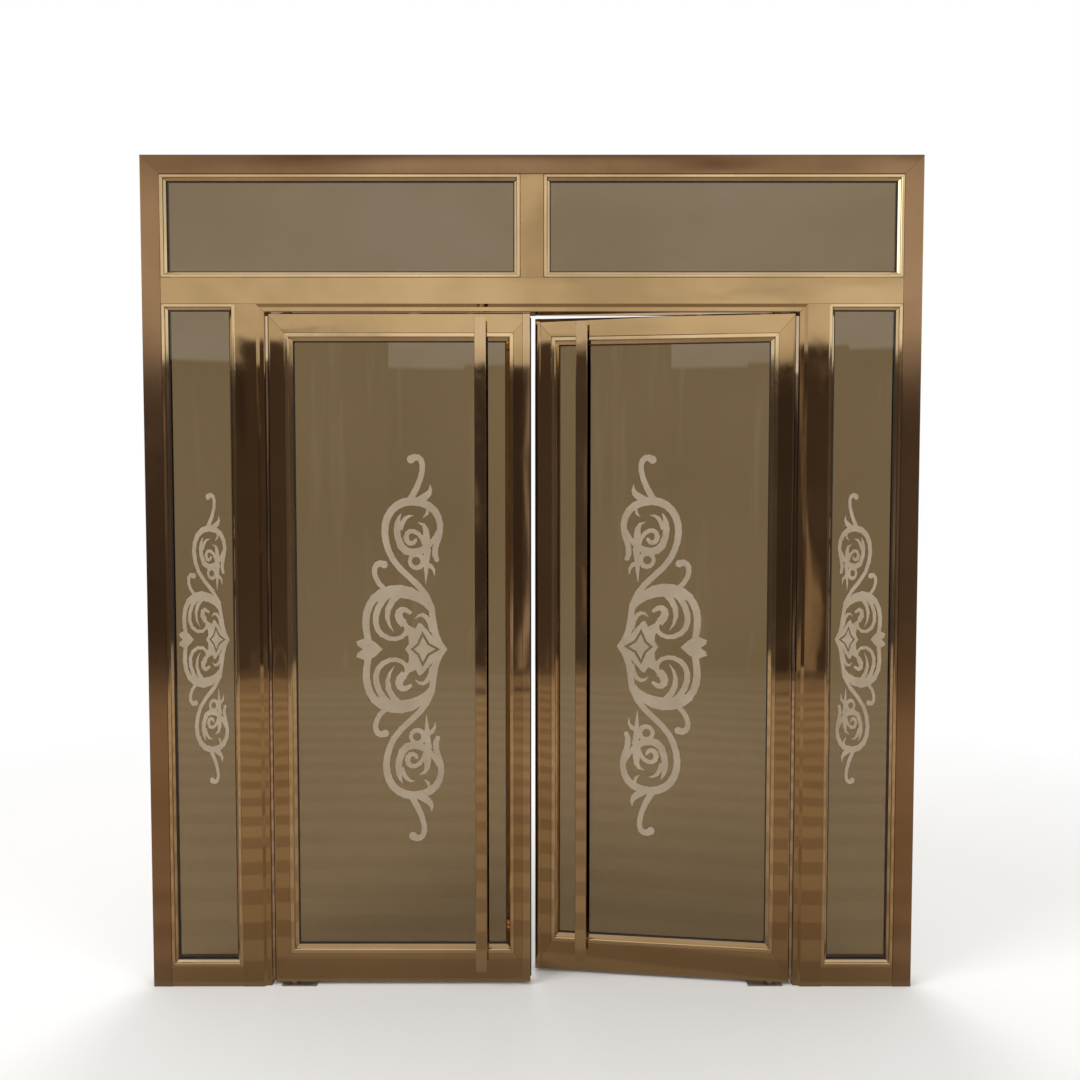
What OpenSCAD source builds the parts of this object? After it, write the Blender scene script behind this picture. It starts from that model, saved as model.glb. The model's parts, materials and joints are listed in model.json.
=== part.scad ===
// Glazed entrance door set: two pivoted leaves, two sidelights and two transom lights
// Polished steel sections with mitred beads, full-height pull bars and frosted scroll work

/* [Frame] */
// Width over the jambs
set_w = 2440; // [2360:10:2700]
// Height over the head
set_h = 2640; // [2560:10:2900]
// Depth of the jambs, head, beam and mullions
frame_d = 100; // [90:5:140]
// Face width of the jambs and the head
jamb_w = 60; // [45:5:80]
// Chamfer along the edges of the frame sections
frame_c = 2; // [1:0.5:4]
// Face width of a mullion, without its stepped edge
mullion_w = 66; // [50:1:80]
// Face height of the transom beam, without its stepped edge
beam_h = 81; // [60:1:110]
// Face width of the mullion between the transom lights
light_mullion_w = 74; // [50:1:100]
// Height of the sill rail under a sidelight
sill_h = 66; // [50:1:100]

/* [Doorway] */
// Clear width between the mullions
door_w = 1680; // [1600:10:1740]
// Clear height under the transom beam
door_h = 2157; // [2050:1:2200]
// Width of the stepped edge round the doorway
step_w = 24; // [18:1:32]
// How far the stepped edge lies behind the frame's face
step_d = 8; // [4:1:12]
// Width of the slope from the frame's face to the stepped edge
slope_w = 9; // [4:1:14]

/* [Fixed lights] */
// Thickness of the fixed glass
light_glass_t = 10; // [6:1:12]
// How far the fixed glass lies behind the frame's face
light_recess = 15; // [10:1:24]
// Width of a bead in a fixed light
light_bead_w = 18; // [14:1:26]

/* [Leaves] */
// Thickness of a leaf
leaf_t = 50; // [44:1:60]
// How far a leaf lies behind the frame's face
leaf_recess = 12; // [9:1:30]
// Gap between a mullion and a leaf
heel_gap = 8; // [6:1:12]
// Gap between the two leaves
meeting_gap = 12; // [8:1:16]
// Gap between the beam and a leaf
head_gap = 6; // [5:1:12]
// Gap between the floor and a leaf
floor_gap = 12; // [8:1:20]
// Radius of a leaf's hinge edge
heel_r = 8; // [5:1:12]
// Face width of a stile
stile_w = 52; // [44:1:70]
// Face height of a top rail
top_rail_h = 58; // [50:1:80]
// Face height of a bottom rail
bottom_rail_h = 92; // [75:1:130]
// Thickness of the leaf glass
leaf_glass_t = 8; // [6:1:12]
// Width of a bead in a leaf
leaf_bead_w = 24; // [18:1:32]
// Width of the plate on the left leaf's meeting edge
left_plate_w = 25; // [15:1:35]
// Width of the plate on the right leaf's meeting edge
right_plate_w = 17; // [12:1:35]
// Thickness of the meeting plates
plate_t = 4; // [2:0.5:6]
// Angle at which the right leaf stands open
ajar_a = 7.5; // [0:0.5:30]

/* [Beads] */
// How far a bead stands out past the section that holds it
bead_proud = 2.5; // [1:0.5:4]
// Chamfer along a bead's raised part
bead_c = 2; // [1:0.5:3]
// Share of a bead's width that is raised
bead_raised = 0.5; // [0.4:0.05:0.7]
// Height of a bead's lower part at its raised part
bead_low = 9; // [6:0.5:10]
// Height of a bead's lip on the glass
bead_lip = 4; // [2:0.5:5]
// Gap in a bead's mitred corner
bead_g = 0.3; // [0.2:0.1:0.6]
// Gap between the edge of a pane and the section round it
glass_g = 5; // [3:1:8]

/* [Pull bars] */
// Width of a pull bar
bar_w = 36; // [28:1:50]
// Thickness of a pull bar
bar_t = 12; // [8:1:20]
// Gap between a pull bar and its leaf
bar_gap = 40; // [32:1:60]
// Distance from a leaf's meeting edge to the middle of its pull bar
bar_in = 155; // [130:1:200]
// Distance from the top of a leaf to the top of its pull bar
bar_top = 16; // [8:1:20]
// Distance from the foot of a leaf to the foot of its pull bar
bar_foot = 53; // [30:1:58]
// Chamfer along a pull bar
bar_c = 1.5; // [0.5:0.5:3]
// Radius of the posts that carry a pull bar
post_r = 10; // [6:1:12]

/* [Pivots] */
// Distance from a leaf's hinge edge to its pivot axis
pivot_in = 60; // [55:1:80]
// Radius of the floor pivot's spindle
spindle_r = 10; // [7:0.5:12]
// Length of the spindle inside the bottom rail
spindle_l = 40; // [25:1:60]
// Radius of the top pivot's pin
pin_r = 7; // [5:0.5:10]
// Length of the pin inside the top rail
pin_l = 32; // [20:1:40]
// Running clearance round the spindle and the pin
run_g = 0.2; // [0.1:0.05:0.5]
// Length of the floor pivot's cover plate
cover_l = 110; // [90:5:150]
// Width of the floor pivot's cover plate
cover_w = 70; // [50:5:90]
// Thickness of the floor pivot's cover plate
cover_t = 4; // [2:0.5:5]

/* [Scroll work] */
// Width of the scroll work on a leaf
scroll_w = 291; // [200:1:400]
// Height of the scroll work on a leaf
scroll_h = 1246; // [900:2:1500]
// How far its middle lies under the middle of the leaf's glass
scroll_drop = 9; // [0:1:100]
// Share of a sidelight's width that its scroll work fills
light_scroll_share = 0.7; // [0.5:0.05:0.8]
// Height of the scroll work on a sidelight
light_scroll_h = 932; // [600:2:1300]
// How far the scroll work stands out from the glass
scroll_t = 1; // [0.5:0.5:2]
// Thickness of the glue between the scroll work and the glass
scroll_g = 0.1; // [0.05:0.05:0.5]
// Width of the line round the middle of the lozenge
scroll_line = 8; // [3:0.5:10]

/* [Hidden] */
$fn = 48;

gold = [0.73, 0.6, 0.39];
dark_gold = [0.52, 0.4, 0.25];
bright_gold = [0.85, 0.74, 0.52];
clear = [0.72, 0.78, 0.74, 0.35];
steel = [0.62, 0.62, 0.6];
frosted = [0.86, 0.8, 0.68];

// Doorway and members, from the centre line of the set
half_w = set_w / 2;
half_door = door_w / 2;
side_w = mullion_w + step_w;
beam_z0 = door_h + step_w;
beam_z1 = beam_z0 + beam_h;
head_z = set_h - jamb_w;
bay_x0 = half_door + side_w;
bay_x1 = half_w - jamb_w;
bay_w = bay_x1 - bay_x0;
transom_w = bay_x1 - light_mullion_w / 2;

// Leaf sizes, and where the glass lies in the leaf's thickness
leaf_w = half_door - heel_gap - meeting_gap / 2;
leaf_h = door_h - head_gap - floor_gap;
leaf_glass_y = (leaf_t - leaf_glass_t) / 2;
leaf_light_w = leaf_w - 2 * stile_w;
leaf_light_h = leaf_h - top_rail_h - bottom_rail_h;
bar_x = leaf_w - bar_in;
bar_h = leaf_h - bar_top - bar_foot;
leaf_widths = [stile_w, stile_w, bottom_rail_h, top_rail_h];

// The set stands with the middle of the left jamb's foot at the origin
module place() {
    translate([half_w - jamb_w / 2, -frame_d / 2, 0]) children();
}

// Draws a piece on the left or the right side of the set
module side(right) {
    place() mirror([right ? 1 : 0, 0, 0]) children();
}

// Draws a piece on a leaf, from the foot of its hinge edge, with the leaf at its resting angle
module on_leaf(right) {
    side(right)
        translate([heel_gap + pivot_in - half_door, leaf_recess + leaf_t / 2, floor_gap])
            rotate([0, 0, right ? ajar_a : 0])
                translate([-pivot_in, -leaf_t / 2, 0]) children();
}

// Extrudes an outline of X and Z points between two depths
module upright(points, y0, y1) {
    translate([0, y1, 0]) rotate([90, 0, 0]) linear_extrude(y1 - y0) polygon(points);
}

// Outline of a frame section in depth and width, with chamfered edges
module frame_section(w) {
    polygon([[frame_c, 0], [0, frame_c], [0, w - frame_c], [frame_c, w],
             [frame_d - frame_c, w], [frame_d, w - frame_c], [frame_d, frame_c], [frame_d - frame_c, 0]]);
}

// Outline of the stepped edge round the doorway, hung on a face of width w
module stepped_section(w) {
    e = w + step_w;
    polygon([[0, 0], [0, w], [step_d, w + slope_w], [step_d, e - frame_c], [step_d + frame_c, e],
             [frame_d - step_d - frame_c, e], [frame_d - step_d, e - frame_c],
             [frame_d - step_d, w + slope_w], [frame_d, w], [frame_d, 0]]);
}

// Outline of a bead in height over the glass and width from the section that holds it
module bead_section(w, rebate) {
    top = rebate + bead_proud;
    raised = w * bead_raised;
    polygon([[0, 0], [rebate, 0], [top, bead_c], [top, raised], [top - bead_c, raised + bead_c],
             [bead_low, raised + bead_c], [bead_lip, w], [0, w]]);
}

// One side of a mitred ring along X, its outer edge at Z = 0, with its outline as the child
module ring_side(len, w, start_w, end_w, gap = 0) {
    intersection() {
        rotate([90, 0, 90]) linear_extrude(len) children();
        upright([[gap, 0], [len - gap, 0], [len - end_w - gap, w], [start_w + gap, w]],
                -2 * frame_d, 2 * frame_d);
    }
}

// A named side of a ring of size w by h, with widths = [left, right, bottom, top]
module ring(w, h, widths, which, gap = 0) {
    if (which == "bottom")
        ring_side(w, widths[2], widths[0], widths[1], gap) children();
    if (which == "top")
        translate([0, 0, h]) mirror([0, 0, 1]) ring_side(w, widths[3], widths[0], widths[1], gap) children();
    if (which == "left")
        mirror([1, 0, -1]) ring_side(h, widths[0], widths[2], widths[3], gap) children();
    if (which == "right")
        translate([w, 0, 0]) mirror([1, 0, 0]) mirror([1, 0, -1])
            ring_side(h, widths[1], widths[2], widths[3], gap) children();
}

// Four mitred beads on each face of a pane, for an opening of size w by h
module beads(w, h, bead_w, glass_y, glass_t, depth) {
    for (side_name = ["left", "right", "bottom", "top"]) {
        translate([0, glass_y, 0]) mirror([0, 1, 0])
            ring(w, h, [1, 1, 1, 1] * bead_w, side_name, bead_g / 2) bead_section(bead_w, glass_y);
        translate([0, glass_y + glass_t, 0])
            ring(w, h, [1, 1, 1, 1] * bead_w, side_name, bead_g / 2) bead_section(bead_w, depth);
    }
}

// A pane for an opening of size w by h
module pane(w, h, glass_y, glass_t) {
    translate([glass_g, glass_y, glass_g]) cube([w - 2 * glass_g, glass_t, h - 2 * glass_g]);
}

module jamb(right) {
    color(dark_gold) side(right) translate([-half_w, 0, 0])
        ring(set_w, set_h, [jamb_w, jamb_w, 0, jamb_w], "left") frame_section(jamb_w);
}

module left_jamb() { jamb(false); }
module right_jamb() { jamb(true); }

module head() {
    color(gold) place() translate([-half_w, 0, 0])
        ring(set_w, set_h, [jamb_w, jamb_w, 0, jamb_w], "top") frame_section(jamb_w);
}

module transom_beam() {
    color(gold) place() {
        translate([-bay_x1, 0, beam_z0]) cube([2 * bay_x1, frame_d, beam_h]);
        translate([-half_door - step_w, 0, beam_z0]) mirror([0, 0, 1])
            ring_side(door_w + 2 * step_w, step_w, step_w, step_w) stepped_section(0);
    }
}

module mullion(right) {
    color(dark_gold) side(right) translate([-bay_x0, 0, 0]) intersection() {
        linear_extrude(beam_z0) rotate([0, 0, 90]) mirror([0, 1, 0]) stepped_section(mullion_w);
        upright([[0, 0], [0, beam_z0], [mullion_w, beam_z0], [side_w, door_h], [side_w, 0]], 0, frame_d);
    }
}

module left_mullion() { mullion(false); }
module right_mullion() { mullion(true); }

module transom_mullion() {
    color(gold) place() translate([-light_mullion_w / 2, 0, beam_z1])
        linear_extrude(head_z - beam_z1) rotate([0, 0, 90]) mirror([0, 1, 0]) frame_section(light_mullion_w);
}

module sill(right) {
    color(gold) side(right) translate([-bay_x1, 0, 0])
        rotate([90, 0, 90]) linear_extrude(bay_w) frame_section(sill_h);
}

module left_sidelight_sill() { sill(false); }
module right_sidelight_sill() { sill(true); }

// Moves to the lower corner of a sidelight or a transom light
module at_sidelight(right) { side(right) translate([-bay_x1, 0, sill_h]) children(); }
module at_transom(right) { side(right) translate([-bay_x1, 0, beam_z1]) children(); }

module light_beads(w, h) {
    beads(w, h, light_bead_w, light_recess, light_glass_t, light_recess);
}

module transom_beads() {
    color(bright_gold) for (right = [false, true])
        at_transom(right) light_beads(transom_w, head_z - beam_z1);
}

module sidelight_beads() {
    color(bright_gold) for (right = [false, true])
        at_sidelight(right) light_beads(bay_w, beam_z0 - sill_h);
}

module transom_glass(right) {
    color(clear) at_transom(right) pane(transom_w, head_z - beam_z1, light_recess, light_glass_t);
}

module sidelight_glass(right) {
    color(clear) at_sidelight(right) pane(bay_w, beam_z0 - sill_h, light_recess, light_glass_t);
}

module left_transom_glass() { transom_glass(false); }
module right_transom_glass() { transom_glass(true); }
module left_sidelight_glass() { sidelight_glass(false); }
module right_sidelight_glass() { sidelight_glass(true); }

// Moves to the pivot axis of a leaf, at floor level
module at_pivot(right) {
    side(right) translate([heel_gap + pivot_in - half_door, leaf_recess + leaf_t / 2, 0]) children();
}

module floor_pivot(right) {
    collar_r = spindle_r * 1.6;
    seat_g = 0.3;
    color(steel) at_pivot(right) {
        translate([-cover_w / 2, -cover_w / 2, 0]) cube([cover_l, cover_w, cover_t]);
        cylinder(r = collar_r, h = floor_gap - seat_g);
        cylinder(r = spindle_r, h = floor_gap + spindle_l);
    }
}

module left_floor_pivot() { floor_pivot(false); }
module right_floor_pivot() { floor_pivot(true); }

module top_pivot(right) {
    flange_t = 2;
    color(steel) at_pivot(right) translate([0, 0, door_h]) mirror([0, 0, 1]) {
        cylinder(r = pin_r * 2, h = flange_t);
        cylinder(r = pin_r, h = head_gap + pin_l);
    }
}

module left_top_pivot() { top_pivot(false); }
module right_top_pivot() { top_pivot(true); }

// Rounds the hinge edge of a leaf over its whole height
module leaf_body() {
    linear_extrude(leaf_h) {
        translate([heel_r, 0]) square([leaf_w - heel_r, leaf_t]);
        translate([0, heel_r]) square([2 * heel_r, leaf_t - 2 * heel_r]);
        for (y = [heel_r, leaf_t - heel_r]) translate([heel_r, y]) circle(heel_r);
    }
}

module leaf_member(which) {
    intersection() {
        ring(leaf_w, leaf_h, leaf_widths, which) square([leaf_t, bottom_rail_h + top_rail_h]);
        leaf_body();
    }
}

module hinge_stile(right) { color(dark_gold) on_leaf(right) leaf_member("left"); }
module meeting_stile(right) { color(dark_gold) on_leaf(right) leaf_member("right"); }

module top_rail(right) {
    pocket = pin_l + 4;
    color(gold) on_leaf(right) difference() {
        leaf_member("top");
        translate([pivot_in, leaf_t / 2, leaf_h - pocket]) cylinder(r = pin_r + run_g, h = pocket + 1);
    }
}

module bottom_rail(right) {
    pocket = spindle_l + 4;
    color(gold) on_leaf(right) difference() {
        leaf_member("bottom");
        translate([pivot_in, leaf_t / 2, -1]) cylinder(r = spindle_r + run_g, h = pocket + 1);
    }
}

// Moves to the lower corner of the glazed opening in a leaf
module at_leaf_light(right) { on_leaf(right) translate([stile_w, 0, bottom_rail_h]) children(); }

module leaf_beads(right) {
    color(bright_gold) at_leaf_light(right)
        beads(leaf_light_w, leaf_light_h, leaf_bead_w, leaf_glass_y, leaf_glass_t, leaf_glass_y);
}

module leaf_glass(right) {
    color(clear) at_leaf_light(right) pane(leaf_light_w, leaf_light_h, leaf_glass_y, leaf_glass_t);
}

// Plates on both faces of a meeting stile, over its whole height
module meeting_plates(right, w) {
    c = plate_t / 3;
    color(bright_gold) on_leaf(right) translate([leaf_w, leaf_t / 2, 0]) for (back = [0, 1])
        mirror([0, back, 0]) translate([0, leaf_t / 2, 0]) linear_extrude(leaf_h)
            polygon([[-w, 0], [0, 0], [0, plate_t - c], [-c, plate_t], [c - w, plate_t], [-w, plate_t - c]]);
}

// A flat bar in front of the leaf's outer or inner face, with y as its middle
module pull_bar(right, y) {
    a = bar_w / 2;
    b = bar_t / 2;
    color(bright_gold) on_leaf(right) translate([bar_x, y, bar_foot]) linear_extrude(bar_h)
        polygon([[-a, bar_c - b], [bar_c - a, -b], [a - bar_c, -b], [a, bar_c - b],
                 [a, b - bar_c], [a - bar_c, b], [bar_c - a, b], [-a, b - bar_c]]);
}

module outer_pull_bar(right) { pull_bar(right, -bar_gap - bar_t / 2); }
module inner_pull_bar(right) { pull_bar(right, leaf_t + bar_gap + bar_t / 2); }

// Posts from both faces of the top and bottom rails to the pull bars
module pull_posts(right) {
    foot_z = (bar_foot + bottom_rail_h) / 2;
    color(gold) on_leaf(right) for (z = [foot_z, leaf_h - top_rail_h / 2], y = [-bar_gap, leaf_t])
        translate([bar_x, y, z]) rotate([-90, 0, 0]) cylinder(r = post_r, h = bar_gap);
}

// Point, direction and width at t on a curve with control points p and widths w
function curve_at(p, t) = pow(1 - t, 3) * p[0] + 3 * t * pow(1 - t, 2) * p[1]
    + 3 * t * t * (1 - t) * p[2] + pow(t, 3) * p[3];
function curve_along(p, t) = pow(1 - t, 2) * (p[1] - p[0]) + 2 * t * (1 - t) * (p[2] - p[1])
    + t * t * (p[3] - p[2]);
function curve_width(w, t) = w[0] * (1 - t) * (1 - 2 * t) + 4 * w[1] * t * (1 - t) + w[2] * t * (2 * t - 1);

// Corner of a stroke beside its curve, on the side s
function curve_edge(p, w, t, s) = let (d = curve_along(p, t))
    curve_at(p, t) + s * curve_width(w, t) / 2 * [-d[1], d[0]] / norm(d);

// A tapered stroke along a curve, in steps that follow the detail asked for
module stroke(p, w, steps) {
    n = ceil(steps * $detail);
    polygon([for (i = [0 : 2 * n + 1])
        i <= n ? curve_edge(p, w, i / n, 1) : curve_edge(p, w, (2 * n + 1 - i) / n, -1)]);
}

// A round end or a round eye
module dot(p, r) { translate(p) circle(r, $fn = 12); }

// Upper half of the scroll work: the ring with the curled top, and the S-shaped stem under it
module upper_scroll() {
    stroke([[-32, 608], [-72, 633], [-94, 581], [-32, 481]], [24, 17, 21], 8);
    dot([-34, 607], 13);
    stroke([[-95, 528], [-101, 495], [-79, 488], [-54, 477]], [1, 21, 18], 5);
    stroke([[-108, 323], [-145, 391], [-129, 470], [-36, 475]], [15, 21, 27], 8);
    stroke([[-37, 475], [52, 472], [75, 373], [25, 287]], [27, 23, 19], 9);
    stroke([[25, 288], [-11, 226], [-106, 201], [-103, 84]], [19, 19, 21], 6);
    stroke([[-103, 88], [-104, 47], [-115, 25], [-147, 0]], [21, 21, 1], 4);
    stroke([[-122, 359], [-104, 319], [-108, 301], [-115, 286]], [14, 19, 14], 3);
    dot([-115, 288], 8);
}

// Curls and small leaves inside the ring, with the eye under them
module inner_scroll() {
    stroke([[-120, 382], [-93, 301], [-2, 282], [9, 359]], [9, 24, 21], 7);
    stroke([[9, 357], [17, 396], [9, 418], [-2, 436]], [21, 17, 1], 4);
    stroke([[-42, 429], [-18, 429], [-7, 418], [2, 382]], [1, 13, 14], 4);
    stroke([[-88, 457], [-88, 436], [-83, 427], [-72, 422]], [7, 10, 2], 2);
    stroke([[-56, 407], [-95, 400], [-77, 359], [-83, 314]], [2, 20, 23], 5);
    stroke([[-77, 332], [-66, 386], [-18, 393], [-17, 358]], [14, 14, 17], 6);
    stroke([[-17, 361], [-17, 330], [-50, 337], [-48, 355]], [17, 15, 9], 6);
    stroke([[-86, 323], [-79, 287], [-82, 251], [-79, 210]], [22, 16, 1], 3);
    stroke([[-66, 272], [-90, 278], [-111, 264], [-108, 234]], [15, 14, 1], 4);
    difference() {
        dot([-51, 283], 29);
        dot([-49, 283], 14);
    }
}

// The nested scrolls beside the lozenge, with the hook over them
module lower_scroll() {
    stroke([[54, 273], [90, 289], [102, 233], [52, 192]], [23, 17, 16], 7);
    dot([54, 272], 12);
    stroke([[-95, 118], [-70, 192], [34, 206], [93, 160]], [3, 41, 24], 7);
    stroke([[86, 165], [125, 120], [115, 66], [104, 16]], [24, 23, 20], 6);
    stroke([[38, 179], [93, 133], [102, 52], [38, 35]], [21, 19, 15], 7);
    stroke([[41, 35], [-11, 23], [-36, 70], [-2, 90]], [15, 14, 18], 6);
    stroke([[-9, 81], [27, 108], [2, 147], [-28, 118]], [27, 23, 12], 6);
    dot([-28, 118], 6);
    stroke([[2, 181], [59, 138], [52, 88], [23, 54]], [20, 17, 1], 5);
    stroke([[-95, 56], [-93, 115], [-61, 122], [-44, 98]], [9, 14, 1], 5);
}

// Upper halves of the lozenge and of the bud across from it
module lozenge() {
    polygon([[-146, 0], [-106, 34], [-93, 50], [-66, 81], [-56, 85], [-45, 66], [-20, 79], [-11, 63],
             [-23, 38], [-24, 18], [-12, 0]]);
}

module bud() { polygon([[60, 0], [85, 23], [111, 38], [145, 25], [141, 12], [124, 0]]); }

// Concave outline round the middle of the lozenge
module diamond() {
    polygon([[-117, 0], [-87, 17], [-68, 50], [-54, 17], [-35, 0], [-54, -17], [-68, -50], [-87, -17]]);
}

// The whole scroll work at a width and a height, from its middle, with fewer steps on a sidelight.
// Its strokes are drawn for a scroll work 292 wide and 1246 high.
module scroll_work(w, h) {
    $detail = w < scroll_w ? 0.65 : 1;
    offset(delta = 0.02) scale([w / 292, h / 1246]) difference() {
        for (lower = [0, 1]) mirror([0, lower]) {
            upper_scroll();
            inner_scroll();
            lower_scroll();
            lozenge();
            bud();
        }
        difference() {
            offset(delta = scroll_line / 2) diamond();
            offset(delta = -scroll_line / 2) diamond();
        }
    }
}

// Scroll work on the outer face of a pane at depth y, with its middle at x and z
module relief(w, h, x, y, z) {
    color(frosted) translate([x, y - scroll_g, z]) rotate([90, 0, 0])
        linear_extrude(scroll_t) mirror([1, 0]) scroll_work(w, h);
}

module leaf_scroll_work(right) {
    at_leaf_light(right)
        relief(scroll_w, scroll_h, leaf_light_w / 2, leaf_glass_y, leaf_light_h / 2 - scroll_drop);
}

module sidelight_scroll_work(right) {
    at_sidelight(right)
        relief(light_scroll_share * bay_w, light_scroll_h, bay_w / 2, light_recess, (beam_z0 - sill_h) / 2);
}

module left_leaf_hinge_stile() { hinge_stile(false); }
module left_leaf_meeting_stile() { meeting_stile(false); }
module left_leaf_top_rail() { top_rail(false); }
module left_leaf_bottom_rail() { bottom_rail(false); }
module left_leaf_beads() { leaf_beads(false); }
module left_leaf_glass() { leaf_glass(false); }
module left_leaf_meeting_plates() { meeting_plates(false, left_plate_w); }
module left_leaf_outer_pull_bar() { outer_pull_bar(false); }
module left_leaf_inner_pull_bar() { inner_pull_bar(false); }
module left_leaf_pull_posts() { pull_posts(false); }
module right_leaf_hinge_stile() { hinge_stile(true); }
module right_leaf_meeting_stile() { meeting_stile(true); }
module right_leaf_top_rail() { top_rail(true); }
module right_leaf_bottom_rail() { bottom_rail(true); }
module right_leaf_beads() { leaf_beads(true); }
module right_leaf_glass() { leaf_glass(true); }
module right_leaf_meeting_plates() { meeting_plates(true, right_plate_w); }
module right_leaf_outer_pull_bar() { outer_pull_bar(true); }
module right_leaf_inner_pull_bar() { inner_pull_bar(true); }
module right_leaf_pull_posts() { pull_posts(true); }
module left_leaf_scroll_work() { leaf_scroll_work(false); }
module right_leaf_scroll_work() { leaf_scroll_work(true); }
module left_sidelight_scroll_work() { sidelight_scroll_work(false); }
module right_sidelight_scroll_work() { sidelight_scroll_work(true); }

left_jamb();
right_jamb();
head();
transom_beam();
left_mullion();
right_mullion();
transom_mullion();
left_sidelight_sill();
right_sidelight_sill();
transom_beads();
sidelight_beads();
left_transom_glass();
right_transom_glass();
left_sidelight_glass();
right_sidelight_glass();
left_floor_pivot();
right_floor_pivot();
left_top_pivot();
right_top_pivot();
left_leaf_hinge_stile();
left_leaf_meeting_stile();
left_leaf_top_rail();
left_leaf_bottom_rail();
left_leaf_beads();
left_leaf_glass();
left_leaf_meeting_plates();
left_leaf_outer_pull_bar();
left_leaf_inner_pull_bar();
left_leaf_pull_posts();
right_leaf_hinge_stile();
right_leaf_meeting_stile();
right_leaf_top_rail();
right_leaf_bottom_rail();
right_leaf_beads();
right_leaf_glass();
right_leaf_meeting_plates();
right_leaf_outer_pull_bar();
right_leaf_inner_pull_bar();
right_leaf_pull_posts();
left_leaf_scroll_work();
right_leaf_scroll_work();
left_sidelight_scroll_work();
right_sidelight_scroll_work();
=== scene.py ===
import bpy
import bmesh
from math import radians
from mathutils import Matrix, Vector
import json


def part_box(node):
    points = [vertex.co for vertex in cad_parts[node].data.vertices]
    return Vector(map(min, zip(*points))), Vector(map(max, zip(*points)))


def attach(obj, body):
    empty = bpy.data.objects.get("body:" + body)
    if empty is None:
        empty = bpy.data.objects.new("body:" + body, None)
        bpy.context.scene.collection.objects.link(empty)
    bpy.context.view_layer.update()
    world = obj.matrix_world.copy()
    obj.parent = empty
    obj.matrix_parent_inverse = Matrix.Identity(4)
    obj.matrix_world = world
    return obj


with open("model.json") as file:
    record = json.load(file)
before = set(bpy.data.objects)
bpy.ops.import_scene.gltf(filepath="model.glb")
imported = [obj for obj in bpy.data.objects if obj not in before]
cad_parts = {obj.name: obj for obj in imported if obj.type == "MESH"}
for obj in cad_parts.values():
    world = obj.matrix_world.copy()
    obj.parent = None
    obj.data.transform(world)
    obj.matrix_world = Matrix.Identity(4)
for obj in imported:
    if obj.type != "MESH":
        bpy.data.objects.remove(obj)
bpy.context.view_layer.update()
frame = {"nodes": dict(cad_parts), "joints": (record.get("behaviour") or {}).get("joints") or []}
nodes = frame["nodes"]
pivots = {joint["child"]: Vector(joint["pos_m"]) for joint in frame["joints"]}
setMiddle = (pivots["left_leaf"].x + pivots["right_leaf"].x) / 2
ajarAngle = 7.5  # degrees at which the right leaf stands open


def newMaterial(name):
    material = bpy.data.materials.new(name)
    material.use_nodes = True
    tree = material.node_tree
    return material, tree, tree.nodes["Principled BSDF"]


# adds a node, linking the inputs that are given as sockets
def addNode(tree, kind, inputs=None, **settings):
    node = tree.nodes.new(kind)
    for key, value in settings.items():
        setattr(node, key, value)
    for key, value in (inputs or {}).items():
        if isinstance(value, bpy.types.NodeSocket):
            tree.links.new(value, node.inputs[key])
        else:
            node.inputs[key].default_value = value
    return node


def stretched(tree, point, stretch):
    return addNode(tree, "ShaderNodeMapping", {"Vector": point, "Scale": stretch}).outputs["Vector"]


def objectPoint(tree, stretch=(1, 1, 1)):
    return stretched(tree, addNode(tree, "ShaderNodeTexCoord").outputs["Object"], stretch)


# settings are the noise's scale, detail and roughness
def noise(tree, point, settings):
    scale, detail, roughness = settings
    inputs = {"Vector": point, "Scale": scale, "Detail": detail, "Roughness": roughness}
    return addNode(tree, "ShaderNodeTexNoise", inputs).outputs["Fac"]


def remap(tree, value, low, high, outLow, outHigh):
    inputs = {"Value": value, "From Min": low, "From Max": high, "To Min": outLow, "To Max": outHigh}
    return addNode(tree, "ShaderNodeMapRange", inputs).outputs["Result"]


def combine(tree, operation, a, b):
    return addNode(tree, "ShaderNodeMath", {0: a, 1: b}, operation=operation).outputs[0]


def axisPart(tree, point, axis):
    return addNode(tree, "ShaderNodeSeparateXYZ", {0: point}).outputs[axis]


def mixColor(tree, factor, a, b):
    return addNode(tree, "ShaderNodeMix", {0: factor, 6: a, 7: b}, data_type="RGBA").outputs[2]


def bump(tree, height, distance, strength=1.0, before=None):
    inputs = {"Height": height, "Distance": distance, "Strength": strength}
    if before:
        inputs["Normal"] = before
    return addNode(tree, "ShaderNodeBump", inputs).outputs["Normal"]


# the parts of a noise's values that are spread out to full contrast
narrowRange = (0.35, 0.65)
wideRange = (0.3, 0.7)


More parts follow.
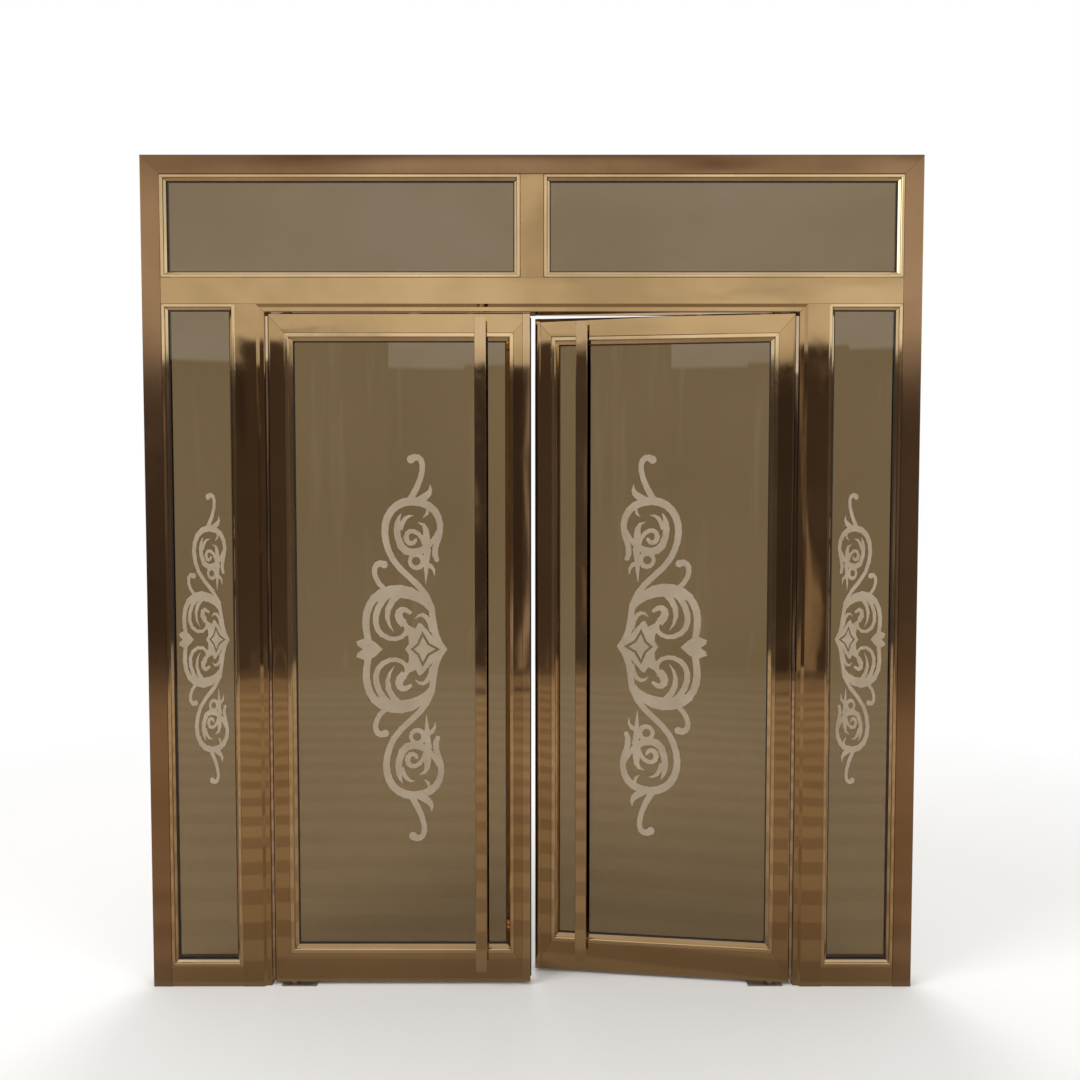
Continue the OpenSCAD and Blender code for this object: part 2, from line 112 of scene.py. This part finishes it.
# polished gold-tone sheet: slow waves, polishing lines along its run, hand marks, dust near the floor
def goldSteel(name, look):
    material, tree, shader = newMaterial(name)
    place = objectPoint(tree)
    lines = noise(tree, objectPoint(tree, look["lineStretch"]), look["lineNoise"])
    cloud = noise(tree, place, look["cloudNoise"])
    smudge = noise(tree, place, look["smudgeNoise"])
    waves = noise(tree, objectPoint(tree, look["waveStretch"]), look["waveNoise"])
    ragged = combine(tree, "MULTIPLY", smudge, look["dustRagged"])
    height = combine(tree, "ADD", axisPart(tree, place, "Z"), ragged)
    dust = remap(tree, height, *look["dustHeight"], 1.0, 0.0)
    tone = mixColor(tree, remap(tree, cloud, *narrowRange, 0.0, 1.0), look["deep"], look["pale"])
    lined = mixColor(tree, remap(tree, lines, *narrowRange, 0.0, look["lineTone"]), tone, look["deep"])
    dusty = mixColor(tree, combine(tree, "MULTIPLY", dust, look["dust"]), lined, look["dustTone"])
    marks = remap(tree, smudge, *look["smudgeRange"], 0.0, look["smudge"])
    streaks = remap(tree, lines, *wideRange, 0.0, look["lineRough"])
    rough = combine(tree, "ADD", combine(tree, "ADD", marks, streaks),
                    combine(tree, "MULTIPLY", dust, look["dustRough"]))
    tree.links.new(dusty, shader.inputs["Base Color"])
    tree.links.new(combine(tree, "ADD", rough, look["rough"]), shader.inputs["Roughness"])
    folded = addNode(tree, "ShaderNodeBevel", {"Radius": look["edgeRadius"]},
                     samples=look["edgeSamples"]).outputs[0]
    sheet = bump(tree, waves, look["waveDepth"], before=folded)
    tree.links.new(bump(tree, lines, look["lineDepth"], look["lineBump"], sheet), shader.inputs["Normal"])
    shader.inputs["Metallic"].default_value = 1.0
    return material


uprightLook = {
    "deep": (0.47, 0.31, 0.155, 1), "pale": (0.56, 0.385, 0.20, 1), "cloudNoise": (2.4, 3.0, 0.5),
    "rough": 0.02, "edgeRadius": 0.0015, "edgeSamples": 4,
    "smudge": 0.04, "smudgeNoise": (9.0, 6.0, 0.65), "smudgeRange": (0.5, 0.72),
    "lineStretch": (420, 420, 5), "lineNoise": (1.0, 4.0, 0.6), "lineTone": 0.12, "lineRough": 0.015,
    "lineDepth": 0.000005, "lineBump": 0.6,
    "waveStretch": (7, 7, 1.6), "waveNoise": (1.0, 1.0, 0.4), "waveDepth": 0.0014,
    "dust": 0.35, "dustTone": (0.36, 0.31, 0.24, 1), "dustHeight": (0.04, 0.26), "dustRagged": 0.12,
    "dustRough": 0.12,
}
# the level members get a slightly paler base than the upright ones: painted highlight
levelPaintedHighlightLook = dict(uprightLook, pale=(0.60, 0.42, 0.22, 1), deep=(0.52, 0.355, 0.18, 1),
                 lineStretch=(5, 420, 420), waveStretch=(1.6, 7, 7))
# the jambs get a darker base than the upright members: painted shade
jambPaintedShadeLook = dict(uprightLook, pale=(0.46, 0.29, 0.165, 1), deep=(0.36, 0.22, 0.115, 1), rough=0.12)
# the head takes the level settings with a much darker base: painted shade
headPaintedShadeLook = dict(levelPaintedHighlightLook, pale=(0.38, 0.24, 0.135, 1), deep=(0.31, 0.19, 0.10, 1), rough=0.07)
# the beads get a much paler base than the other members: painted highlight
beadPaintedHighlightLook = dict(uprightLook, pale=(0.82, 0.64, 0.40, 1), deep=(0.70, 0.52, 0.30, 1), rough=0.04,
                lineStretch=(60, 60, 60), lineTone=0.1, waveStretch=(3, 3, 3), waveDepth=0.0006,
                edgeRadius=0.0008)
# the pull bars, their posts and collars, and the meeting plates get a paler base: painted highlight
barPaintedHighlightLook = dict(uprightLook, pale=(0.66, 0.48, 0.28, 1), deep=(0.56, 0.40, 0.22, 1), rough=0.025,
               smudge=0.08, edgeRadius=0.001)
platePaintedHighlightLook = dict(barPaintedHighlightLook, smudge=0.05)

uprightSteel = goldSteel("goldSteelUpright", uprightLook)
levelPaintedHighlightSteel = goldSteel("goldSteelLevelPaintedHighlight", levelPaintedHighlightLook)
jambPaintedShadeSteel = goldSteel("goldSteelJambPaintedShade", jambPaintedShadeLook)
headPaintedShadeSteel = goldSteel("goldSteelHeadPaintedShade", headPaintedShadeLook)
beadPaintedHighlightSteel = goldSteel("goldSteelBeadPaintedHighlight", beadPaintedHighlightLook)
barPaintedHighlightSteel = goldSteel("goldSteelBarPaintedHighlight", barPaintedHighlightLook)
platePaintedHighlightSteel = goldSteel("goldSteelPlatePaintedHighlight", platePaintedHighlightLook)
print("gold steel finishes made")


# turned and slightly worn steel of the pivots and their screws
satinLook = {"pale": (0.62, 0.61, 0.58, 1), "deep": (0.45, 0.44, 0.42, 1), "rough": 0.28,
             "lineStretch": (90, 90, 900), "lineNoise": (1.0, 3.0, 0.6), "lineRough": 0.12,
             "lineDepth": 0.00004, "wearNoise": (60.0, 5.0, 0.6), "wearRange": (0.4, 0.65)}


def satinSteel(look):
    material, tree, shader = newMaterial("satinSteel")
    turned = noise(tree, objectPoint(tree, look["lineStretch"]), look["lineNoise"])
    wear = noise(tree, objectPoint(tree), look["wearNoise"])
    tone = mixColor(tree, remap(tree, wear, *look["wearRange"], 0.0, 1.0), look["pale"], look["deep"])
    streaks = remap(tree, turned, *wideRange, 0.0, look["lineRough"])
    tree.links.new(tone, shader.inputs["Base Color"])
    tree.links.new(combine(tree, "ADD", streaks, look["rough"]), shader.inputs["Roughness"])
    tree.links.new(bump(tree, turned, look["lineDepth"]), shader.inputs["Normal"])
    shader.inputs["Metallic"].default_value = 1.0
    return material


# bronze glass that reflects a little more than clear glass, with very slow waves and a few wiping marks
glassLook = {"tint": (0.195, 0.135, 0.068, 1), "tintDeep": (0.15, 0.10, 0.047, 1), "refraction": 1.75,
             "waveNoise": (1.7, 1.0, 0.4), "waveDepth": 0.0004,
             "wipeStretch": (2.5, 2.5, 9), "wipeNoise": (1.0, 5.0, 0.6), "wipeRange": (0.55, 0.8),
             "wipeRough": 0.05}


def tintedGlass(look):
    material, tree, shader = newMaterial("paneGlass")
    waves = noise(tree, objectPoint(tree), look["waveNoise"])
    wiping = noise(tree, objectPoint(tree, look["wipeStretch"]), look["wipeNoise"])
    tree.links.new(mixColor(tree, waves, look["tint"], look["tintDeep"]), shader.inputs["Base Color"])
    wiped = remap(tree, wiping, *look["wipeRange"], 0.0, look["wipeRough"])
    tree.links.new(wiped, shader.inputs["Roughness"])
    tree.links.new(bump(tree, waves, look["waveDepth"]), shader.inputs["Normal"])
    shader.inputs["Transmission Weight"].default_value = 1.0
    shader.inputs["IOR"].default_value = look["refraction"]
    return material


# sandblasted surface of the scroll work: fine grit and soft clouding
frostLook = {"pale": (0.69, 0.58, 0.43, 1), "deep": (0.58, 0.47, 0.34, 1), "through": 0.55,
             "rough": (0.62, 0.85), "gritNoise": (900.0, 2.0, 0.6), "gritTone": 0.25, "gritDepth": 0.0002,
             "gritBump": 0.5, "cloudNoise": (14.0, 4.0, 0.6), "cloudRange": (0.35, 0.7)}


def frostedGlass(look):
    material, tree, shader = newMaterial("frostedGlass")
    place = objectPoint(tree)
    grit = noise(tree, place, look["gritNoise"])
    cloud = noise(tree, place, look["cloudNoise"])
    tone = mixColor(tree, remap(tree, cloud, *look["cloudRange"], 0.0, 1.0), look["pale"], look["deep"])
    gritty = mixColor(tree, remap(tree, grit, *wideRange, 0.0, look["gritTone"]), tone, look["deep"])
    tree.links.new(gritty, shader.inputs["Base Color"])
    tree.links.new(remap(tree, grit, *wideRange, *look["rough"]), shader.inputs["Roughness"])
    tree.links.new(bump(tree, grit, look["gritDepth"], look["gritBump"]), shader.inputs["Normal"])
    shader.inputs["Transmission Weight"].default_value = look["through"]
    return material


# dull black rubber with a pale bloom
rubberLook = {"deep": (0.018, 0.014, 0.011, 1), "pale": (0.05, 0.04, 0.032, 1), "rough": (0.45, 0.7),
              "bloomNoise": (40.0, 4.0, 0.6), "bloomDepth": 0.0001}


def sealRubber(look):
    material, tree, shader = newMaterial("sealRubber")
    bloom = noise(tree, objectPoint(tree), look["bloomNoise"])
    tree.links.new(mixColor(tree, bloom, look["deep"], look["pale"]), shader.inputs["Base Color"])
    tree.links.new(remap(tree, bloom, *wideRange, *look["rough"]), shader.inputs["Roughness"])
    tree.links.new(bump(tree, bloom, look["bloomDepth"]), shader.inputs["Normal"])
    return material


# black fibres of the brush strips
pileLook = {"deep": (0.012, 0.011, 0.01, 1), "pale": (0.06, 0.055, 0.05, 1), "rough": 0.9,
            "fibreStretch": (300, 300, 2600), "fibreNoise": (1.0, 3.0, 0.7), "fibreDepth": 0.0003}


def brushPile(look):
    material, tree, shader = newMaterial("brushPile")
    fibres = noise(tree, objectPoint(tree, look["fibreStretch"]), look["fibreNoise"])
    tree.links.new(mixColor(tree, fibres, look["deep"], look["pale"]), shader.inputs["Base Color"])
    tree.links.new(bump(tree, fibres, look["fibreDepth"]), shader.inputs["Normal"])
    shader.inputs["Roughness"].default_value = look["rough"]
    return material


satin = satinSteel(satinLook)
paneGlass = tintedGlass(glassLook)
frosted = frostedGlass(frostLook)
rubber = sealRubber(rubberLook)
pile = brushPile(pileLook)
print("glass, rubber, brush and pivot finishes made")


# the first of these words that stands in a node's name decides its finish
finishes = {
    "jamb": jambPaintedShadeSteel, "head": headPaintedShadeSteel, "transom_beam": levelPaintedHighlightSteel, "_sill": levelPaintedHighlightSteel,
    "_rail": levelPaintedHighlightSteel, "mullion": uprightSteel, "_stile": uprightSteel, "beads": beadPaintedHighlightSteel,
    "pull_bar": barPaintedHighlightSteel, "pull_posts": barPaintedHighlightSteel, "meeting_plates": platePaintedHighlightSteel, "_glass": paneGlass,
    "pivot": satin, "scroll_work": frosted,
}


def dressNode(name, node):
    material = next(finish for word, finish in finishes.items() if word in name)
    node.data.materials.clear()
    node.data.materials.append(material)


for name, node in nodes.items():
    dressNode(name, node)
print(len(nodes), "pieces from the frame given their finish")


def deselectAll():
    bpy.ops.object.select_all(action="DESELECT")


def editMesh(selectMode):
    bpy.ops.object.mode_set(mode="EDIT")
    bpy.ops.mesh.select_mode(type=selectMode)


facing = 0.9  # a face looks along an axis when its normal reaches this far along it


def selectFaces(piece, test):
    mesh = bmesh.from_edit_mesh(piece.data)
    for face in mesh.faces:
        face.select = test(face)
    bmesh.update_edit_mesh(piece.data)


def pullOut(x, y, z):
    bpy.ops.mesh.extrude_region_move(TRANSFORM_OT_translate={"value": (x, y, z)})


def turnFacesOut():
    bpy.ops.mesh.select_all(action="SELECT")
    bpy.ops.mesh.normals_make_consistent(inside=False)


def joinAs(name, pieces):
    deselectAll()
    for piece in pieces:
        piece.select_set(True)
    bpy.context.view_layer.objects.active = pieces[0]
    bpy.ops.object.join()
    pieces[0].name = name
    return pieces[0]


def finishPiece(piece, body, material):
    bpy.ops.object.mode_set(mode="OBJECT")
    bpy.ops.object.transform_apply(location=True, rotation=True, scale=True)
    piece.data.materials.append(material)
    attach(piece, body)


# copies a left piece to the right side of the set, and turns it with the leaf that stands ajar
def mirrorToRight(piece, name, body, ajar=0.0):
    deselectAll()
    twin = piece.copy()
    twin.data = piece.data.copy()
    twin.parent = None
    twin.name = name
    bpy.context.scene.collection.objects.link(twin)
    bpy.context.view_layer.objects.active = twin
    twin.select_set(True)
    editMesh("FACE")
    bpy.ops.mesh.select_all(action="SELECT")
    bpy.ops.transform.resize(value=(-1, 1, 1), center_override=(setMiddle, 0, 0))
    bpy.ops.mesh.normals_make_consistent(inside=False)
    if ajar:
        bpy.ops.transform.rotate(value=radians(ajar), orient_axis="Z", center_override=pivots["right_leaf"])
    bpy.ops.object.mode_set(mode="OBJECT")
    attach(twin, body)
    return twin


# rubber seal between a pane and the lip of its beads, on one face of the pane
sealShape = {"width": 0.0035, "height": 0.0022, "bevel": 0.0006, "lightInset": 0.013, "leafInset": 0.019,
             "tolerance": 0.00001}


def glazingSeal(name, pane, inset, outward, body):
    low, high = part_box(pane)
    face = low.y if outward < 0 else high.y
    rise = outward * sealShape["height"]
    deselectAll()
    bpy.ops.mesh.primitive_plane_add(size=1, location=((low.x + high.x) / 2, face, (low.z + high.z) / 2),
                                     rotation=(radians(90), 0, 0))
    piece = bpy.context.object
    piece.name = name
    piece.scale = (high.x - low.x - 2 * inset, high.z - low.z - 2 * inset, 1)
    bpy.ops.object.transform_apply(location=False, rotation=True, scale=True)
    editMesh("FACE")
    bpy.ops.mesh.inset(thickness=sealShape["width"])
    bpy.ops.mesh.delete(type="FACE")
    bpy.ops.mesh.select_all(action="SELECT")
    pullOut(0, rise, 0)
    mesh = bmesh.from_edit_mesh(piece.data)
    for edge in mesh.edges:
        edge.select = all(abs(corner.co.y - rise) < sealShape["tolerance"] for corner in edge.verts)
    bmesh.update_edit_mesh(piece.data)
    bpy.ops.mesh.bevel(offset=sealShape["bevel"], segments=2)
    bpy.ops.mesh.select_mode(type="EDGE")
    bpy.ops.mesh.select_all(action="DESELECT")
    bpy.ops.mesh.select_non_manifold()
    bpy.ops.mesh.bridge_edge_loops()  # closes the side that lies on the glass
    turnFacesOut()
    finishPiece(piece, body, rubber)
    return piece


faceWords = {-1: "outer", 1: "inner"}
for light in ("transom", "sidelight"):
    for outward, word in faceWords.items():
        seal = glazingSeal(f"left_{light}_{word}_seal", f"left_{light}_glass", sealShape["lightInset"],
                           outward, "door_frame")
        mirrorToRight(seal, f"right_{light}_{word}_seal", "door_frame")
for outward, word in faceWords.items():
    seal = glazingSeal(f"left_leaf_{word}_seal", "left_leaf_glass", sealShape["leafInset"],
                       outward, "left_leaf")
    mirrorToRight(seal, f"right_leaf_{word}_seal", "right_leaf", ajarAngle)
print("glazing seals made")


# socket screws in the corners of the plate that covers a floor pivot
screwShape = {"sides": 24, "radius": 0.0045, "rise": 0.0011, "rim": 0.0021, "socket": 0.0008,
              "bevel": 0.0003, "fromEdge": 0.0068, "plateTop": 0.004}


def screwHead(place):
    deselectAll()
    bpy.ops.mesh.primitive_cylinder_add(vertices=screwShape["sides"], radius=screwShape["radius"],
                                        depth=screwShape["rise"], location=place)
    head = bpy.context.object
    editMesh("FACE")
    selectFaces(head, lambda face: face.normal.z > facing)
    bpy.ops.mesh.bevel(offset=screwShape["bevel"], segments=2)
    selectFaces(head, lambda face: face.normal.z > facing and len(face.verts) == screwShape["sides"])
    bpy.ops.mesh.inset(thickness=screwShape["rim"])
    pullOut(0, 0, -screwShape["socket"])
    bpy.ops.object.mode_set(mode="OBJECT")
    return head


def coverScrews(pivot, name, body):
    low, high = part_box(pivot)
    edge = screwShape["fromEdge"]
    height = screwShape["plateTop"] + screwShape["rise"] / 2
    heads = [screwHead((x, y, height)) for x in (low.x + edge, high.x - edge)
             for y in (low.y + edge, high.y - edge)]
    piece = joinAs(name, heads)
    editMesh("FACE")
    turnFacesOut()
    finishPiece(piece, body, satin)
    return piece


screws = coverScrews("left_floor_pivot", "left_floor_pivot_screws", "door_frame")
mirrorToRight(screws, "right_floor_pivot_screws", "door_frame")
print("floor pivot screws made")


# bevelled collar where each post of a pull bar meets its leaf
collarShape = {"sides": 48, "radius": 0.0155, "thick": 0.003, "bevel": 0.0012, "smoothUnder": 30}


def postCollar(x, leafFace, outward, z):
    deselectAll()
    bpy.ops.mesh.primitive_cylinder_add(vertices=collarShape["sides"], radius=collarShape["radius"],
                                        depth=collarShape["thick"],
                                        location=(x, leafFace + outward * collarShape["thick"] / 2, z),
                                        rotation=(radians(90), 0, 0))
    collar = bpy.context.object
    bpy.ops.object.transform_apply(location=True, rotation=True, scale=True)
    editMesh("FACE")
    selectFaces(collar, lambda face: face.normal.y * outward > facing)
    bpy.ops.mesh.bevel(offset=collarShape["bevel"], segments=3)
    bpy.ops.object.mode_set(mode="OBJECT")
    return collar


def barCollars(name, posts, stile, body):
    low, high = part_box(posts)
    front, back = (corner.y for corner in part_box(stile))
    middle = (low.x + high.x) / 2
    radius = (high.x - low.x) / 2
    collars = [postCollar(middle, leafFace, outward, z) for leafFace, outward in ((front, -1), (back, 1))
               for z in (low.z + radius, high.z - radius)]
    piece = joinAs(name, collars)
    bpy.ops.object.shade_smooth_by_angle(angle=radians(collarShape["smoothUnder"]))
    finishPiece(piece, body, barPaintedHighlightSteel)
    return piece


collars = barCollars("left_leaf_bar_collars", "left_leaf_pull_posts", "left_leaf_meeting_stile",
                     "left_leaf")
mirrorToRight(collars, "right_leaf_bar_collars", "right_leaf", ajarAngle)
print("pull bar collars made")


# strip of brush pile in its carrier, along the meeting edge of a leaf
brushShape = {"carrier": 0.009, "carrierDepth": 0.0008, "rim": 0.002, "pile": 0.0024, "bevel": 0.0008,
              "fromEnds": 0.006}


def meetingBrush(name, stile, body):
    low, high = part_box(stile)
    place = (high.x + brushShape["carrierDepth"] / 2, (low.y + high.y) / 2, (low.z + high.z) / 2)
    deselectAll()
    bpy.ops.mesh.primitive_cube_add(size=1, location=place)
    piece = bpy.context.object
    piece.name = name
    piece.scale = (brushShape["carrierDepth"], brushShape["carrier"],
                   high.z - low.z - 2 * brushShape["fromEnds"])
    bpy.ops.object.transform_apply(location=True, rotation=True, scale=True)
    editMesh("FACE")
    selectFaces(piece, lambda face: face.normal.x > facing)
    bpy.ops.mesh.inset(thickness=brushShape["rim"])
    pullOut(brushShape["pile"], 0, 0)
    bpy.ops.mesh.bevel(offset=brushShape["bevel"], segments=2)
    finishPiece(piece, body, pile)
    return piece


brush = meetingBrush("left_leaf_meeting_brush", "left_leaf_meeting_stile", "left_leaf")
mirrorToRight(brush, "right_leaf_meeting_brush", "right_leaf", ajarAngle)
print("meeting brushes made")


# the rays that see the studio plainly, from the camera or through glass, and those that come off the metal
def studioRays(tree):
    rays = addNode(tree, "ShaderNodeLightPath").outputs
    seenPlain = combine(tree, "MAXIMUM", rays["Is Camera Ray"], rays["Is Transmission Ray"])
    mirrored = combine(tree, "MULTIPLY", rays["Is Glossy Ray"], combine(tree, "SUBTRACT", 1.0, seenPlain))
    return seenPlain, mirrored


# even stripes between 0 and 1, one of each to a width, their edges blurred over a share of it
def evenStripes(tree, value, width, blur):
    edge = width / 4
    return remap(tree, combine(tree, "PINGPONG", value, width / 2), edge, edge + blur * width, 0.0, 1.0)


# plain pale floor that fades into the white surroundings; the metal sees it darker and striped
floorLook = {"reach": 5.0, "drop": 0.0005, "color": (0.9, 0.89, 0.87, 1), "rough": 0.8, "fade": (2.2, 4.4),
             "mirrored": (0.36, 0.29, 0.22, 1), "mirroredDeep": (0.27, 0.21, 0.155, 1),
             "stripeWidth": 0.32, "stripeBlur": 0.02}


def studioFloor(look):
    deselectAll()
    bpy.ops.mesh.primitive_plane_add(size=2 * look["reach"], location=(setMiddle, 0, -look["drop"]))
    floor = bpy.context.object
    floor.name = "studioFloor"
    material, tree, shader = newMaterial("studioFloor")
    seenPlain, mirrored = studioRays(tree)
    place = objectPoint(tree)
    striped = evenStripes(tree, axisPart(tree, place, "Y"), look["stripeWidth"], look["stripeBlur"])
    stripes = mixColor(tree, striped, look["mirrored"], look["mirroredDeep"])
    tree.links.new(mixColor(tree, mirrored, look["color"], stripes), shader.inputs["Base Color"])
    shader.inputs["Roughness"].default_value = look["rough"]
    away = addNode(tree, "ShaderNodeVectorMath", {0: place}, operation="LENGTH").outputs["Value"]
    fading = combine(tree, "MULTIPLY", remap(tree, away, *look["fade"], 0.0, 1.0), seenPlain)
    white = addNode(tree, "ShaderNodeEmission", {"Color": (1, 1, 1, 1), "Strength": 1.0}).outputs[0]
    blend = addNode(tree, "ShaderNodeMixShader", {0: fading, 1: shader.outputs[0], 2: white}).outputs[0]
    tree.links.new(blend, tree.nodes["Material Output"].inputs["Surface"])
    floor.data.materials.append(material)


# studio surroundings: white where the camera or the glass looks out; the metal sees a pale wall
# over a row of dark blocks of uneven height, and a band of level stripes low down
studioLook = {
    "plain": (1, 1, 1, 1), "soft": (0.72, 0.72, 0.72, 1),
    "wallPale": (0.93, 0.9, 0.84, 1), "wallDeep": (0.66, 0.62, 0.56, 1), "wallStretch": (5, 5, 9),
    "wallNoise": (1.0, 4.0, 0.55), "wallRange": (0.42, 0.62),
    "ceiling": (0.2, 0.13, 0.09, 1), "ceilingFrom": (0.275, 0.295), "ceilingFade": (0.4, 0.6),
    "ceilingLeft": 0.2,
    "blockTops": (0.10, 0.135), "blockWidth": 0.07, "blockBlur": 0.002,
    "blockDeep": (0.035, 0.028, 0.026, 1), "blockPale": (0.09, 0.07, 0.06, 1),
    "streak": (0.34, 0.27, 0.22, 1), "streakStretch": (40, 40, 1.5), "streakNoise": (1.0, 3.0, 0.6),
    "streakRange": (0.56, 0.66),
    "bandFrom": -0.24, "bandTo": -0.165, "bandBlur": 0.004, "stripeWidth": 0.02, "stripeBlur": 0.05,
    "stripePale": (0.30, 0.24, 0.19, 1), "stripeDeep": (0.15, 0.115, 0.09, 1),
}


def darkBlocks(tree, way, blockTone, look):
    streaks = noise(tree, stretched(tree, way, look["streakStretch"]), look["streakNoise"])
    blocks = mixColor(tree, blockTone, look["blockDeep"], look["blockPale"])
    return mixColor(tree, remap(tree, streaks, *look["streakRange"], 0.0, 1.0), blocks, look["streak"])


def stripedBand(tree, rise, look):
    low, high, blur = look["bandFrom"], look["bandTo"], look["bandBlur"]
    striped = evenStripes(tree, rise, look["stripeWidth"], look["stripeBlur"])
    stripes = mixColor(tree, striped, look["stripePale"], look["stripeDeep"])
    inBand = combine(tree, "MULTIPLY", remap(tree, rise, high - blur, high, 1.0, 0.0),
                     remap(tree, rise, low - blur, low, 0.0, 1.0))
    return stripes, inBand


def paleWall(tree, way, rise, look):
    stains = noise(tree, stretched(tree, way, look["wallStretch"]), look["wallNoise"])
    stained = remap(tree, stains, *look["wallRange"], 0.0, 1.0)
    plaster = mixColor(tree, stained, look["wallPale"], look["wallDeep"])
    ceiling = combine(tree, "MULTIPLY", remap(tree, rise, *look["ceilingFrom"], 0.0, 1.0),
                      remap(tree, rise, *look["ceilingFade"], 1.0, look["ceilingLeft"]))
    return mixColor(tree, ceiling, plaster, look["ceiling"])


def studioWorld(look):
    world = bpy.data.worlds.new("studio")
    bpy.context.scene.world = world
    world.use_nodes = True
    tree = world.node_tree
    tree.nodes.clear()
    way = addNode(tree, "ShaderNodeTexCoord").outputs["Generated"]
    rise = axisPart(tree, way, "Z")
    turn = combine(tree, "ARCTAN2", axisPart(tree, way, "X"),
                   combine(tree, "MULTIPLY", axisPart(tree, way, "Y"), -1.0))
    block = combine(tree, "SNAP", turn, look["blockWidth"])
    blockTone = addNode(tree, "ShaderNodeTexWhiteNoise", {"W": block},
                        noise_dimensions="1D").outputs["Value"]
    overBlock = combine(tree, "SUBTRACT", rise, remap(tree, blockTone, 0.0, 1.0, *look["blockTops"]))
    above = remap(tree, overBlock, -look["blockBlur"], look["blockBlur"], 0.0, 1.0)
    stripes, inBand = stripedBand(tree, rise, look)
    below = mixColor(tree, inBand, darkBlocks(tree, way, blockTone, look), stripes)
    reflected = mixColor(tree, above, below, paleWall(tree, way, rise, look))
    seenPlain, mirrored = studioRays(tree)
    seen = mixColor(tree, mirrored, mixColor(tree, seenPlain, look["soft"], look["plain"]), reflected)
    background = addNode(tree, "ShaderNodeBackground", {"Color": seen, "Strength": 1.0})
    addNode(tree, "ShaderNodeOutputWorld", {"Surface": background.outputs[0]})


# only the weak highlight lamp shows on the metal; the strong lamps would burn out there
lamps = {
    "highlight": {"place": (-3.4, -3.4, 4.6), "aim": (1.2, 0, 1.2), "size": (3.2, 2.4), "power": 32,
                  "onMetal": True},
    "keyLight": {"place": (-3.4, -3.4, 4.6), "aim": (1.2, 0, 1.2), "size": (3.2, 2.4), "power": 148,
                 "onMetal": False},
    "fillLight": {"place": (5.0, -3.6, 3.4), "aim": (1.2, 0, 1.2), "size": (3.0, 2.4), "power": 70,
                  "onMetal": False},
    "backLight": {"place": (1.2, 4.6, 4.4), "aim": (1.2, 0, 1.3), "size": (3.0, 1.4), "power": 120,
                  "onMetal": False},
}


def softBox(name, look):
    light = bpy.data.lights.new(name, "AREA")
    light.shape = "RECTANGLE"
    light.size, light.size_y = look["size"]
    light.energy = look["power"]
    lamp = bpy.data.objects.new(name, light)
    bpy.context.scene.collection.objects.link(lamp)
    lamp.location = look["place"]
    lamp.rotation_euler = (Vector(look["aim"]) - Vector(look["place"])).to_track_quat("-Z", "Y").to_euler()
    lamp.visible_transmission = False
    lamp.visible_glossy = look["onMetal"]


studioFloor(floorLook)
studioWorld(studioLook)
for name, look in lamps.items():
    softBox(name, look)
print("floor, surroundings and lamps set")


# camera at eye level in front of the set, a little right of its middle
cameraPlace = {"right": 0.025, "distance": 3.36, "height": 1.606, "down": 2.8, "lens": 35.5, "sensor": 36}


def standCamera(place):
    camera = bpy.data.objects.new("camera", bpy.data.cameras.new("camera"))
    camera.data.sensor_fit = "HORIZONTAL"
    camera.data.sensor_width = place["sensor"]
    camera.data.lens = place["lens"]
    camera.location = (setMiddle + place["right"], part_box("head")[0].y - place["distance"], place["height"])
    camera.rotation_euler = (radians(90 - place["down"]), 0, 0)
    bpy.context.scene.collection.objects.link(camera)
    bpy.context.scene.camera = camera


standCamera(cameraPlace)
bpy.context.scene.view_settings.view_transform = "Standard"
print("camera set")
